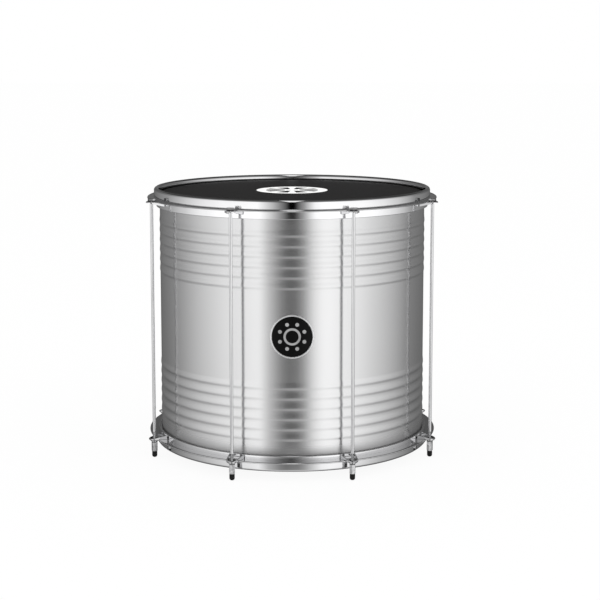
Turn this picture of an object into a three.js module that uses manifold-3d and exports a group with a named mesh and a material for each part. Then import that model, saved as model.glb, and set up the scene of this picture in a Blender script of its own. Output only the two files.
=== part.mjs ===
// Surdo, a 20 inch Brazilian bass drum: a ridged aluminium shell, a black batter head
// and resonant head in their flesh hoops, two chromed counter hoops with welded ears,
// and eight long tension bolts whose tuning nuts end in the rubber feet it stands on.
// Units are millimetres and +Z is up. The front, with the badge, faces -Y, and the
// origin lies on the floor under the middle of the drum.
import * as THREE from 'three';
import { mergeVertices } from 'three/addons/utils/BufferGeometryUtils.js';
import Module from 'manifold-3d';

// Driving dimensions
const shellDiameter = 508;
const shellDepth = 467.4;
const shellWall = 1.5;
const crownRadius = 4; // the shell's edge is rolled inward under the head

const ridgeCount = 6; // in each of the two groups of ridges
const ridgePitch = 18.7;
const ridgeHeight = 0.8;
const ridgeWidth = 6.8;
const upperRidgeInset = 52.8; // from the shell's upper end to the nearest ridge
const lowerRidgeInset = 48.1;

const seatGap = 0.3; // between pieces that rest on each other
const filmThickness = 0.5;
const headSink = 10.4; // from the rim of a hoop in to the head

const fleshHoopWidth = 5.7;
const fleshHoopClearance = 0.7; // between the shell and the flesh hoop
const batterFleshHeight = 14.5;
const resonantFleshHeight = 7.5;
const fleshHoopChamfer = 1;
const filmSlotWidth = 1.3;
const filmSlotWall = 0.8; // the inner leg of the slotted flesh hoop
const batterSlotDepth = 6;
const resonantSlotDepth = 4;

const hoopSheet = 2.2;
const hoopBandGap = 2.2; // from the flesh hoop's outside to the band's inside
const hoopDepth = 20.2; // from the rim to the face that bears on the flesh hoop
const rimRollRadius = 1.6;
const flangeReach = 12.7; // from the band's outside to the flange's edge
const flangeRollRadius = 2.2;
const hoopLipReach = 5; // inward, over the flesh hoop

const stationCount = 8;
const boltDiameter = 6;
const boltCircleGap = 4.5; // from the flange's edge to the middle of a bolt
const boltHeadFlats = 10;
const boltHeadHeight = 3.8;
const boltCollarDiameter = 14.2;
const boltCollarHeight = 1.4;
const notchClearance = 0.8; // round a bolt's collar, in the flange

const earSheet = 2.5;
const earPlateThickness = 2.8;
const earNoseRadius = 11.7;
const earBaseWidth = 37;
const earSkirtDepth = 11.5; // at the root, from the plate's outer face
const earNoseDepth = 3.6; // at the nose
const earRootGap = 1.6; // from the flesh hoop's outside to the ear's root
const boltHoleClearance = 0.4;

const washerDiameter = 14;
const washerThickness = 1.5;
const nutFlats = 10;
const nutLength = 19.1;
const nutChamfer = 0.8;
const nutBoreDepth = 13;
const boltEngagement = 12;

const footDiameter = 9.7;
const footHeight = 11.7;
const footFlatDiameter = 5.6;
const footShoulderDiameter = 8.4;
const footShoulder = 1;
const footRound = 3;
const footStemDiameter = 5;
const footStemLength = 4;

const badgeDiameter = 79;
const badgeRimWidth = 3;
const badgeThickness = 0.8;
const badgeRimThickness = 1.6;

const hexSides = 6; // of the bolts' heads and the nuts

// Facets of round pieces
const drumSides = 40;
const boltSides = 10;
const footSides = 8;
const badgeSides = 32;
const noseSteps = 5;
const crownSteps = 2;
const innerCrownSteps = 1;
const rollSteps = 3;

const cutOverrun = 5; // how far a cutting tool runs past what it cuts

// Places worked out from the driving dimensions
const fullTurn = 2 * Math.PI;
const halfTurn = Math.PI;
const quarterTurn = Math.PI / 2;

const shellRadius = shellDiameter / 2;
const fleshInner = shellRadius + fleshHoopClearance;
const fleshOuter = fleshInner + fleshHoopWidth;
const bandInner = fleshOuter + hoopBandGap;
const bandOuter = bandInner + hoopSheet;
const flangeEdge = bandOuter + flangeReach;
const boltCircle = flangeEdge + boltCircleGap;
const noseEdge = boltCircle + earNoseRadius;
const earRoot = fleshOuter + earRootGap;

// Depths along the drum's axis are counted from the rim of the hoop towards the shell
const plateDepth = hoopDepth - hoopSheet;
const fleshHoopDepth = hoopDepth + seatGap;
const crownDepth = headSink + filmThickness + seatGap;

const nutTop = footHeight + seatGap + nutLength;
const lowerRim = nutTop + seatGap + washerThickness + seatGap - plateDepth;
const shellBottom = lowerRim + crownDepth;
const shellTop = shellBottom + shellDepth;
const upperRim = shellTop + crownDepth;
const drumMiddle = (shellBottom + shellTop) / 2;

const wasm = await Module();
wasm.setup();

// A closed mesh with welded corners, no collapsed faces, and its faces pointing out
function closed(geometry) {
  geometry.deleteAttribute('normal');
  geometry.deleteAttribute('uv');
  const welded = mergeVertices(geometry);
  const corners = welded.index.array;
  const kept = [];
  for (let i = 0; i < corners.length; i += 3) {
    const [a, b, c] = corners.slice(i, i + 3);
    if (a !== b && b !== c && c !== a) kept.push(a, b, c);
  }
  if (volumeOf(welded, kept) < 0) kept.reverse();
  welded.setIndex(kept);
  return welded;
}

function volumeOf(geometry, corners) {
  const places = geometry.attributes.position;
  const [a, b, c] = [new THREE.Vector3(), new THREE.Vector3(), new THREE.Vector3()];
  let volume = 0;
  for (let i = 0; i < corners.length; i += 3) {
    a.fromBufferAttribute(places, corners[i]);
    b.fromBufferAttribute(places, corners[i + 1]);
    c.fromBufferAttribute(places, corners[i + 2]);
    volume += a.dot(b.cross(c)) / 6;
  }
  return volume;
}

function solidOf(geometry) {
  return new wasm.Manifold(new wasm.Mesh({
    numProp: 3,
    vertProperties: new Float32Array(geometry.attributes.position.array),
    triVerts: new Uint32Array(geometry.index.array),
  }));
}

function geometryOf(solid) {
  const mesh = solid.getMesh();
  const geometry = new THREE.BufferGeometry();
  geometry.setAttribute('position', new THREE.BufferAttribute(new Float32Array(mesh.vertProperties), 3));
  geometry.setIndex(new THREE.BufferAttribute(new Uint32Array(mesh.triVerts), 1));
  return geometry;
}

// A profile of [radius, height] points, turned about the drum's axis
function turned(profile, sides = drumSides) {
  const points = profile.map(([radius, height]) => new THREE.Vector2(radius, height));
  if (profile[0][0] > 0) points.push(points[0].clone());
  const geometry = new THREE.LatheGeometry(points, sides);
  geometry.rotateX(quarterTurn);
  return closed(geometry);
}

// An outline in X and Y, raised from one height to another
function raised(outline, low, high) {
  const shape = new THREE.Shape(outline.map(([x, y]) => new THREE.Vector2(x, y)));
  const geometry = new THREE.ExtrudeGeometry(shape, { depth: high - low, bevelEnabled: false });
  geometry.translate(0, 0, low);
  return closed(geometry);
}

// An upright round bar, whose radius is measured to the corners of its facets
function bar(radius, low, high, sides) {
  return turned([[0, low], [radius, low], [radius, high], [0, high]], sides);
}

// Half the width over the corners of a hexagon of a given width over its flats
const hexCorner = (flats) => flats / 2 / Math.cos(halfTurn / hexSides);

function arc(radius, centre, start, end, steps) {
  return Array.from({ length: steps + 1 }, (_, step) => {
    const angle = start + (end - start) * step / steps;
    return [centre[0] + radius * Math.cos(angle), centre[1] + radius * Math.sin(angle)];
  });
}

// A profile counted in depth from a rim, placed at the upper or the lower end
const atUpperEnd = (profile) => profile.map(([radius, depth]) => [radius, upperRim - depth]);
const atLowerEnd = (profile) => profile.map(([radius, depth]) => [radius, lowerRim + depth]);

// The shell: a rolled sheet with two groups of outward ridges and edges rolled inward
function shellGeometry() {
  const crownInner = crownRadius - shellWall;
  const crownMiddle = shellRadius - crownRadius;
  const upperCrown = [crownMiddle, shellTop - crownRadius];
  const lowerCrown = [crownMiddle, shellBottom + crownRadius];
  const ridge = (height) => [
    [shellRadius, height - ridgeWidth / 2],
    [shellRadius + ridgeHeight, height],
    [shellRadius, height + ridgeWidth / 2],
  ];
  const lowerRidges = [];
  const upperRidges = [];
  for (let i = 0; i < ridgeCount; i += 1) {
    lowerRidges.push(...ridge(shellBottom + lowerRidgeInset + i * ridgePitch));
    upperRidges.unshift(...ridge(shellTop - upperRidgeInset - i * ridgePitch));
  }
  return turned([
    ...arc(crownRadius, lowerCrown, -quarterTurn, 0, crownSteps),
    ...lowerRidges,
    ...upperRidges,
    ...arc(crownRadius, upperCrown, 0, quarterTurn, crownSteps),
    ...arc(crownInner, upperCrown, quarterTurn, 0, innerCrownSteps),
    ...arc(crownInner, lowerCrown, 0, -quarterTurn, innerCrownSteps),
  ]);
}

// A head's film: a flat skin over the shell's crown, with its edge held in the flesh hoop
function filmProfile(slotDepth) {
  const crown = [shellRadius - crownRadius, crownDepth + crownRadius];
  const underRadius = crownRadius + seatGap;
  const overRadius = underRadius + filmThickness;
  const slotMiddle = fleshInner + filmSlotWall + filmSlotWidth / 2;
  const inner = slotMiddle - filmThickness / 2;
  const outer = slotMiddle + filmThickness / 2;
  const edgeDepth = fleshHoopDepth + slotDepth - seatGap;
  return [
    [0, headSink],
    ...arc(overRadius, crown, -quarterTurn, 0, crownSteps),
    [outer, fleshHoopDepth],
    [outer, edgeDepth],
    [inner, edgeDepth],
    [inner, fleshHoopDepth],
    ...arc(underRadius, crown, 0, -quarterTurn, crownSteps),
    [0, headSink + filmThickness],
  ];
}

// A flesh hoop: a slotted aluminium ring that grips the edge of the film
function fleshHoopProfile(height, slotDepth) {
  const slotInner = fleshInner + filmSlotWall;
  const slotOuter = slotInner + filmSlotWidth;
  const far = fleshHoopDepth + height;
  return [
    [fleshInner, fleshHoopDepth],
    [slotInner, fleshHoopDepth],
    [slotInner, fleshHoopDepth + slotDepth],
    [slotOuter, fleshHoopDepth + slotDepth],
    [slotOuter, fleshHoopDepth],
    [fleshOuter, fleshHoopDepth],
    [fleshOuter, far - fleshHoopChamfer],
    [fleshOuter - fleshHoopChamfer, far],
    [fleshInner, far],
  ];
}

// A counter hoop: a band with a rolled rim, a lip over the flesh hoop, and a flange
// with a rolled edge that stands out at its foot
function hoopProfile() {
  const bandMiddle = (bandInner + bandOuter) / 2;
  const flangeRoll = [flangeEdge - flangeRollRadius, hoopDepth - flangeRollRadius];
  return [
    ...arc(rimRollRadius, [bandMiddle, rimRollRadius], halfTurn, fullTurn, rollSteps),
    [bandOuter, plateDepth],
    ...arc(flangeRollRadius, flangeRoll, -halfTurn, quarterTurn, rollSteps + 1),
    [bandInner - hoopLipReach, hoopDepth],
    [bandInner - hoopLipReach, plateDepth],
    [bandInner, plateDepth],
  ];
}

const notchRadius = boltCollarDiameter / 2 + notchClearance;

// The hoop's flange is notched at every bolt, to clear its collar or its washer
function hoopGeometry(profile) {
  let hoop = solidOf(turned(profile));
  const heights = profile.map((point) => point[1]);
  const low = Math.min(...heights) - cutOverrun;
  const high = Math.max(...heights) + cutOverrun;
  for (const angle of stationAngles) {
    const notch = bar(notchRadius, low, high, boltSides);
    notch.translate(boltCircle * Math.cos(angle), boltCircle * Math.sin(angle), 0);
    hoop = hoop.subtract(solidOf(notch));
  }
  return geometryOf(hoop);
}

// An ear, drawn with its bolt along X and its outer face towards +Z. Z counts down from
// the rim. It is a pressed bracket: a plate for the bolt and a skirt that deepens towards
// the hoop, where it is welded under the flange.
function earGeometry() {
  const rootRise = earBaseWidth / 2;
  const rootRun = earRoot - boltCircle;
  const flare = Math.atan2(rootRise, rootRun) - Math.acos(earNoseRadius / Math.hypot(rootRun, rootRise));
  const plan = (radius, start) => {
    const rise = (radius - Math.cos(flare) * (start - boltCircle)) / Math.sin(flare);
    return [[start, -rise], ...arc(radius, [boltCircle, 0], -flare, flare, noseSteps), [start, rise]];
  };
  const plateOuter = -plateDepth;
  const plateInner = plateOuter - earPlateThickness;
  const skirtEnd = plateOuter - earSkirtDepth;
  const noseEnd = plateOuter - earNoseDepth;
  const taper = closed(new THREE.ExtrudeGeometry(new THREE.Shape([
    new THREE.Vector2(earRoot, skirtEnd),
    new THREE.Vector2(noseEdge, noseEnd),
    new THREE.Vector2(noseEdge + cutOverrun, noseEnd),
    new THREE.Vector2(noseEdge + cutOverrun, skirtEnd - cutOverrun),
    new THREE.Vector2(earRoot, skirtEnd - cutOverrun),
  ]), { depth: earBaseWidth + 2 * cutOverrun, bevelEnabled: false }));
  taper.rotateX(quarterTurn);
  taper.translate(0, earBaseWidth / 2 + cutOverrun, 0);
  const hoopSide = bar(flangeEdge + seatGap, -hoopDepth - seatGap, cutOverrun, drumSides);
  hoopSide.rotateZ(halfTurn / drumSides);
  const fleshSide = bar(earRoot, skirtEnd - cutOverrun, cutOverrun, drumSides);
  fleshSide.rotateZ(halfTurn / drumSides);
  const hole = bar(boltDiameter / 2 + boltHoleClearance, skirtEnd, cutOverrun, boltSides);
  hole.translate(boltCircle, 0, 0);
  const outline = plan(earNoseRadius, earRoot - cutOverrun);
  const hollow = plan(earNoseRadius - earSheet, earRoot - 2 * cutOverrun);
  const outside = raised(outline, skirtEnd, plateOuter);
  const inside = raised(hollow, skirtEnd - cutOverrun, plateInner);
  return geometryOf(solidOf(outside)
    .subtract(solidOf(inside))
    .subtract(solidOf(taper))
    .subtract(solidOf(hoopSide))
    .subtract(solidOf(fleshSide))
    .subtract(solidOf(hole)));
}

// A tension bolt: a hexagon head with a collar, on a shank that ends inside its nut
function boltGeometry() {
  const collarLow = upperRim - plateDepth + seatGap;
  const collarHigh = collarLow + boltCollarHeight;
  const shank = bar(boltDiameter / 2, nutTop - boltEngagement, collarHigh, boltSides);
  const collar = bar(boltCollarDiameter / 2, collarLow, collarHigh, boltSides);
  const head = bar(hexCorner(boltHeadFlats), collarLow, collarHigh + boltHeadHeight, hexSides);
  return geometryOf(solidOf(shank).add(solidOf(collar)).add(solidOf(head)));
}

function washerGeometry() {
  const low = nutTop + seatGap;
  const high = low + washerThickness;
  const hole = boltDiameter / 2 + boltHoleClearance;
  const edge = washerDiameter / 2;
  return turned([[hole, low], [edge, low], [edge, high], [hole, high]], boltSides);
}

// A tuning nut: a long hexagon with chamfered ends, bored for the bolt from above and
// for the foot's stem from below
function nutGeometry() {
  const low = nutTop - nutLength;
  const corner = hexCorner(nutFlats);
  const body = turned([
    [0, low],
    [corner - nutChamfer, low],
    [corner, low + nutChamfer],
    [corner, nutTop - nutChamfer],
    [corner - nutChamfer, nutTop],
    [0, nutTop],
  ], hexSides);
  const boreRadius = (boltDiameter / 2 + boltHoleClearance) / Math.cos(halfTurn / boltSides);
  const bore = bar(boreRadius, nutTop - nutBoreDepth, nutTop + cutOverrun, boltSides);
  const socketRadius = (footStemDiameter / 2 + seatGap) / Math.cos(halfTurn / footSides);
  const socket = bar(socketRadius, low - cutOverrun, low + footStemLength, footSides);
  return geometryOf(solidOf(body).subtract(solidOf(bore)).subtract(solidOf(socket)));
}

// A rubber foot: a round buffer with a stem that is pressed into the nut
function footGeometry() {
  const edge = footDiameter / 2;
  const stem = footStemDiameter / 2;
  const stemTop = footHeight + footStemLength;
  return turned([
    [0, 0],
    [footFlatDiameter / 2, 0],
    [footShoulderDiameter / 2, footShoulder],
    [edge, footRound],
    [edge, footHeight],
    [stem, footHeight],
    [stem, stemTop],
    [0, stemTop],
  ], footSides);
}

// A piece of the badge: what a round cutter that faces the front takes from a curved sheet
function badgeGeometry(thickness, cutter) {
  const low = drumMiddle - badgeDiameter;
  const high = drumMiddle + badgeDiameter;
  const sheetInner = shellRadius + seatGap;
  const sheet = turned([
    [sheetInner, low],
    [sheetInner + thickness, low],
    [sheetInner + thickness, high],
    [sheetInner, high],
  ]);
  cutter.rotateX(quarterTurn);
  cutter.translate(0, 0, drumMiddle);
  return geometryOf(solidOf(sheet).intersect(solidOf(cutter)));
}

function badgePlateGeometry() {
  const radius = badgeDiameter / 2 - badgeRimWidth - seatGap;
  return badgeGeometry(badgeThickness, bar(radius, 0, shellDiameter, badgeSides));
}

function badgeRimGeometry() {
  const outer = badgeDiameter / 2;
  const inner = outer - badgeRimWidth;
  const ring = turned([[inner, 0], [outer, 0], [outer, shellDiameter], [inner, shellDiameter]], badgeSides);
  return badgeGeometry(badgeRimThickness, ring);
}

const finishes = {
  shell: new THREE.MeshStandardMaterial({ color: 0xc9cacc, roughness: 0.25, metalness: 1 }),
  fleshHoop: new THREE.MeshStandardMaterial({ color: 0xd6d7d9, roughness: 0.2, metalness: 1 }),
  chrome: new THREE.MeshStandardMaterial({ color: 0xdfe1e4, roughness: 0.08, metalness: 1 }),
  steel: new THREE.MeshStandardMaterial({ color: 0xbfc1c4, roughness: 0.3, metalness: 1 }),
  film: new THREE.MeshStandardMaterial({ color: 0x2c2a2b, roughness: 0.55, metalness: 0 }),
  rubber: new THREE.MeshStandardMaterial({ color: 0x151515, roughness: 0.8, metalness: 0 }),
  badge: new THREE.MeshStandardMaterial({ color: 0x141414, roughness: 0.35, metalness: 0 }),
};

function piece(name, geometry, finish) {
  const mesh = new THREE.Mesh(geometry, finish);
  mesh.name = name;
  return mesh;
}

const stationAngles = Array.from(
  { length: stationCount },
  (_, station) => (station + 1 / 2) * fullTurn / stationCount - quarterTurn,
);

const surdo = new THREE.Group();
surdo.add(
  piece('shell', shellGeometry(), finishes.shell),
  piece('batter_film', turned(atUpperEnd(filmProfile(batterSlotDepth))), finishes.film),
  piece('resonant_film', turned(atLowerEnd(filmProfile(resonantSlotDepth))), finishes.film),
  piece(
    'batter_flesh_hoop',
    turned(atUpperEnd(fleshHoopProfile(batterFleshHeight, batterSlotDepth))),
    finishes.fleshHoop,
  ),
  piece(
    'resonant_flesh_hoop',
    turned(atLowerEnd(fleshHoopProfile(resonantFleshHeight, resonantSlotDepth))),
    finishes.fleshHoop,
  ),
  piece('top_hoop', hoopGeometry(atUpperEnd(hoopProfile())), finishes.chrome),
  piece('bottom_hoop', hoopGeometry(atLowerEnd(hoopProfile())), finishes.chrome),
  piece('badge_plate', badgePlateGeometry(), finishes.badge),
  piece('badge_rim', badgeRimGeometry(), finishes.chrome),
);

const ear = earGeometry();
const bolt = boltGeometry();
const washer = washerGeometry();
const nut = nutGeometry();
const foot = footGeometry();

stationAngles.forEach((angle, index) => {
  const station = new THREE.Group();
  station.rotation.z = angle;
  const label = index + 1;

  const topEar = piece(`top_ear_${label}`, ear, finishes.chrome);
  topEar.position.z = upperRim;
  const bottomEar = piece(`bottom_ear_${label}`, ear, finishes.chrome);
  bottomEar.rotation.x = halfTurn;
  bottomEar.position.z = lowerRim;

  const tensioner = new THREE.Group();
  tensioner.position.x = boltCircle;
  tensioner.add(
    piece(`tension_rod_${label}`, bolt, finishes.steel),
    piece(`washer_${label}`, washer, finishes.steel),
    piece(`tuning_nut_${label}`, nut, finishes.chrome),
    piece(`rubber_foot_${label}`, foot, finishes.rubber),
  );
  station.add(topEar, bottomEar, tensioner);
  surdo.add(station);
});

export default surdo;
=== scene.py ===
# %% [markdown]
# # A bass drum in polished metal
#
# This lesson dresses an eight-rod bass drum for a product picture. The construction model already gives
# every piece its place and size, so each step here makes one finer mesh over one plain solid, or one
# finish, and nothing is moved. Lengths are in metres, Z is up, and the badge faces the camera, along -Y.

# %% Load the construction model
import math

import bmesh
import bpy
from mathutils import Matrix, Vector
from mathutils.bvhtree import BVHTree


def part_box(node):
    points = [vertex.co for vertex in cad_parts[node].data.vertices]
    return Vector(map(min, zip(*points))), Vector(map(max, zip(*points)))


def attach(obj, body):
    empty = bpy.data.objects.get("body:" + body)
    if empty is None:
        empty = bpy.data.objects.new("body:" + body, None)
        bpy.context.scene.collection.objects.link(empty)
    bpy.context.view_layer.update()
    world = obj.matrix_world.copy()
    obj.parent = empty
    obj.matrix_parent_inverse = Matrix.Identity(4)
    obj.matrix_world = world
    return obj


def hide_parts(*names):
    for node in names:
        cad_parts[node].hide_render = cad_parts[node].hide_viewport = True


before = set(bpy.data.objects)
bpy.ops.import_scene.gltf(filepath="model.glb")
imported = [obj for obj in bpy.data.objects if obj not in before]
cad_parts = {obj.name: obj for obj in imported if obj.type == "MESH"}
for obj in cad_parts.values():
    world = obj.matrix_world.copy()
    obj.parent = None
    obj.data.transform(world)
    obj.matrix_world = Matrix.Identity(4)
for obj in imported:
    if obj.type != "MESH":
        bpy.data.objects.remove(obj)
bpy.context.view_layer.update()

MM = 0.001

# %% [markdown]
# ## Where things are
#
# The levels are read from the model, so that the new meshes follow it if it grows or shrinks. The two films
# give the best levels, because their faces are flat. The heights of a hoop and its neighbours are counted
# as a depth from the hoop's rim, which lets one profile serve the top and the bottom.

# %% Levels and radii from the model
RIDGE_HEIGHT = 0.8 * MM
HEAD_SINK = 10.4 * MM

shell_low, shell_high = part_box("shell")
shell_radius = shell_high.x - RIDGE_HEIGHT
upper_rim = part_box("batter_film")[1].z + HEAD_SINK
lower_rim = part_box("resonant_film")[0].z - HEAD_SINK
middle = (shell_low.z + shell_high.z) / 2

STATIONS = range(1, 9)


def centre_of(node):
    """The middle of a model piece, seen from above."""
    low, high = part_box(node)
    return (low + high) / 2


rod_places = {k: centre_of(f"tension_rod_{k}") for k in STATIONS}
rod_turns = {k: math.atan2(place.y, place.x) for k, place in rod_places.items()}
bolt_circle = rod_places[1].xy.length
print(f"Shell radius {shell_radius:.4f}, rims at {lower_rim:.4f} and {upper_rim:.4f}")
print(f"Rods on a circle of {bolt_circle:.4f}")

# %% [markdown]
# ## The camera
#
# The picture was taken from a little under three metres away with a long lens, from above the drum's rim.
# A camera tilted down makes upright lines lean together. A small lens shift lets it tilt less, which keeps
# the drum's sides nearly parallel. More shift would push the drum out of the frame in other views.

# %% Set the camera
CAMERA_DISTANCE = 2.82
CAMERA_HEIGHT = 0.77
CAMERA_TILT = math.radians(7.473)
CAMERA_TURN = math.radians(0.311)
LENS = 88.23
SENSOR = 36
LENS_SHIFT = -0.1

camera_data = bpy.data.cameras.new("camera")
camera_data.lens = LENS
camera_data.sensor_width = SENSOR
camera_data.shift_y = LENS_SHIFT
camera = bpy.data.objects.new("camera", camera_data)
bpy.context.collection.objects.link(camera)
camera.location = (0, -CAMERA_DISTANCE, CAMERA_HEIGHT)
camera.rotation_euler = (math.pi / 2 - CAMERA_TILT, 0, -CAMERA_TURN)
bpy.context.scene.camera = camera
bpy.context.scene.view_settings.view_transform = "Standard"
print(f"Camera {CAMERA_DISTANCE} m away, {CAMERA_HEIGHT} m up, lens {LENS} mm")

# %% [markdown]
# ## Sums on sockets
#
# Patterns are easier to read as sums than as boxes and wires. This small class wraps a node's output, so
# that an expression such as `1 - mask * 0.3` adds the Math nodes that it needs. The tree's `add` makes any
# other node. Settings come first, because some of them change which sockets the node has.

# %% A socket that takes part in sums
class Value:
    """A node's output that can be added, multiplied and compared in Python."""

    def __init__(self, tree, socket):
        self.tree = tree
        self.socket = socket

    def math(self, operation, *others):
        return self.tree.add("ShaderNodeMath", {"operation": operation}, dict(enumerate([self, *others])))

    def __add__(self, other):
        return self.math("ADD", other)

    def __sub__(self, other):
        return self.math("SUBTRACT", other)

    def __rsub__(self, other):
        return self.tree.add("ShaderNodeMath", {"operation": "SUBTRACT"}, {0: other, 1: self})

    def __mul__(self, other):
        return self.math("MULTIPLY", other)

    def __truediv__(self, other):
        return self.math("DIVIDE", other)

    def __lt__(self, other):
        return self.math("LESS_THAN", other)

    def __gt__(self, other):
        return self.math("GREATER_THAN", other)

    __radd__ = __add__
    __rmul__ = __mul__


class Tree:
    """The node tree of a material or of the world, emptied and ready to fill."""

    def __init__(self, owner):
        owner.use_nodes = True
        self.nodes = owner.node_tree.nodes
        self.links = owner.node_tree.links
        self.nodes.clear()

    def add(self, kind, settings=None, inputs=None, output=0):
        """Adds a node and returns one of its outputs as a Value."""
        node = self.nodes.new(kind)
        for name, setting in (settings or {}).items():
            if name == "stops":
                while len(node.color_ramp.elements) < len(setting):
                    node.color_ramp.elements.new(1)
                for element, (place, shade) in zip(node.color_ramp.elements, setting):
                    element.position = place
                    element.color = (shade, shade, shade, 1)
            else:
                setattr(node, name, setting)
        for name, value in (inputs or {}).items():
            if isinstance(value, Value):
                self.links.new(value.socket, node.inputs[name])
            else:
                node.inputs[name].default_value = value
        return Value(self, node.outputs[output]) if node.outputs else None

    def parts(self, vector):
        """The three numbers of a vector."""
        split = self.nodes.new("ShaderNodeSeparateXYZ")
        self.links.new(vector.socket, split.inputs[0])
        return [Value(self, socket) for socket in split.outputs]

    def vector(self, x, y, z):
        return self.add("ShaderNodeCombineXYZ", inputs={0: x, 1: y, 2: z})

    def noise(self, vector, scale, detail=2.0, roughness=0.5):
        return self.add("ShaderNodeTexNoise", {}, {
            "Vector": vector, "Scale": scale, "Detail": detail, "Roughness": roughness})

    def mix(self, share, first, second):
        """A colour between two colours."""
        return self.add("ShaderNodeMix", {"data_type": "RGBA"}, {0: share, 6: first, 7: second}, 2)

    def blend(self, share, first, second):
        """A shader between two shaders."""
        return self.add("ShaderNodeMixShader", {}, {0: share, 1: first, 2: second})

    def ray(self, kind):
        """1 where the ray that asks is of one kind, such as "Is Camera Ray", and 0 elsewhere."""
        return self.add("ShaderNodeLightPath", output=kind)


# %% [markdown]
# ## The light of the studio
#
# Polished metal shows little but its surroundings, so these matter most here. The drum stood between two
# broad soft panels, with a dark gap where the camera was and a dim room behind it. Area lamps could be the
# panels, but a lamp has a hard edge in a mirror. So the world is painted, and only glossy rays see it. The
# camera sees plain white, and dull surfaces get an even light.
#
# The painting is a short table. Each row is a ring round the drum at one height, in degrees above the
# horizon, and gives a few pairs of direction and shade. Direction 0 is the camera's side and 180 is behind
# the drum. Between the pairs and between the rings the shades run smoothly into each other.

# %% The room as rings of shades
ROOM = [
    (-60, [(-180, 0.08), (-120, 0.1), (-90, 0.2), (-60, 0.36), (-30, 0.56), (0, 0.5), (30, 0.56), (60, 0.36),
           (90, 0.2), (120, 0.1), (180, 0.08)]),
    (-30, [(-180, 0.08), (-140, 0.08), (-120, 0.14), (-100, 0.22), (-80, 0.32), (-60, 0.52), (-28, 0.9),
           (-20, 0.52), (-10, 0.29), (0, 0.4), (10, 0.42), (30, 1.0), (60, 0.56), (80, 0.32), (100, 0.22),
           (120, 0.13), (140, 0.07), (180, 0.08)]),
    (-15, [(-180, 0.09), (-140, 0.11), (-120, 0.18), (-100, 0.33), (-80, 0.5), (-60, 0.71), (-28, 0.9),
           (-20, 0.44), (-10, 0.2), (-5, 0.12), (5, 0.15), (10, 0.31), (16, 0.56), (24, 0.94), (34, 1.02),
           (60, 0.77), (80, 0.5), (100, 0.32), (120, 0.18), (140, 0.11), (180, 0.09)]),
    (-7, [(-180, 0.04), (-168, 0.09), (-150, 0.17), (-125, 0.31), (-100, 0.62), (-80, 0.9), (-60, 1.04),
          (-28, 1.08), (-20, 0.74), (-10, 0.3), (-5, 0.12), (-2.4, 0.0), (2.4, 0.0), (5, 0.12), (10, 0.33),
          (18, 0.95), (26, 1.12), (60, 1.08), (80, 0.94), (100, 0.64), (120, 0.29), (150, 0.16), (168, 0.09),
          (180, 0.04)]),
    (6, [(-180, 0.12), (-165, 0.08), (-150, 0.1), (-120, 0.15), (-100, 0.28), (-80, 0.54), (-60, 0.86),
         (-28, 1.04), (-20, 0.6), (-10, 0.2), (-5, 0.05), (-2.4, 0.0), (2.4, 0.0), (5, 0.07), (10, 0.31),
         (18, 0.95), (26, 1.12), (60, 0.9), (80, 0.54), (100, 0.29), (120, 0.15), (150, 0.1), (165, 0.08),
         (180, 0.12)]),
    (14, [(-180, 0.08), (-160, 0.08), (-140, 0.15), (-120, 0.27), (-100, 0.5), (-80, 0.68), (-50, 0.9),
          (-28, 1.0), (-20, 0.48), (-10, 0.16), (0, 0.05), (10, 0.34), (28, 1.05), (50, 0.9), (80, 0.66),
          (100, 0.5), (120, 0.26), (140, 0.14), (160, 0.08), (180, 0.08)]),
    (24, [(-180, 0.05), (-120, 0.06), (-90, 0.14), (-30, 0.2), (0, 0.06), (30, 0.2), (90, 0.14), (120, 0.06),
          (180, 0.05)]),
    (60, [(-180, 0.02), (-120, 0.03), (-80, 0.1), (80, 0.1), (120, 0.03), (180, 0.02)]),
]
print("The room has", len(ROOM), "rings of shades")

# %% [markdown]
# A colour ramp holds one ring, read by direction, and a Map Range node fades from each ring to the next by
# height. A narrow strip light over the camera comes last. It gives the upper rim its small white glint in
# the dark gap.

# %% Paint the world
ROOM_LIGHT = 1.4
STRIP_SHARE = 0.1
STRIP_START = 25
STRIP_SHADE = 0.9
EVEN_LIGHT = 1.03

world = bpy.data.worlds.new("studio")
bpy.context.scene.world = world
tree = Tree(world)
east, north, up = tree.parts(tree.add("ShaderNodeTexCoord", output="Generated"))
turn = (east.math("ARCTAN2", north * -1) * math.degrees(1) + 180) / 360
height = up.math("ARCSINE") * math.degrees(1)
rings = []
for _, shades in ROOM:
    stops = [((angle + 180) / 360, shade) for angle, shade in shades]
    rings.append(tree.add("ShaderNodeValToRGB", {"stops": stops}, {0: turn}))
room = rings[0]
for (low, _), (high, _), ring in zip(ROOM, ROOM[1:], rings[1:]):
    share = tree.add("ShaderNodeMapRange", {}, {"Value": height, "From Min": low, "From Max": high})
    room = room + share * (ring - room)
in_line = (east.math("ABSOLUTE") < up * STRIP_SHARE) * (north < 0)
strip = in_line * (height > STRIP_START) * STRIP_SHADE
room = room.math("MAXIMUM", strip) * ROOM_LIGHT
seen_by_camera = tree.ray("Is Camera Ray")
seen_in_gloss = tree.ray("Is Glossy Ray")
strength = seen_by_camera + (1 - seen_by_camera) * (seen_in_gloss * room + (1 - seen_in_gloss) * EVEN_LIGHT)
background = tree.add("ShaderNodeBackground", {}, {"Color": (1, 1, 1, 1), "Strength": strength})
tree.add("ShaderNodeOutputWorld", {}, {"Surface": background})
print("World painted with", len(rings), "ramps")

# %% [markdown]
# ## Two soft lamps and a floor
#
# Dull rubber and film need a little direction in their light, which two large lamps give. They are hidden
# from glossy rays, because the painted world already stands for them there. The floor is almost white for
# the camera and keeps a breath of shadow under the feet. In a mirror it lets the painted world show.

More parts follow.
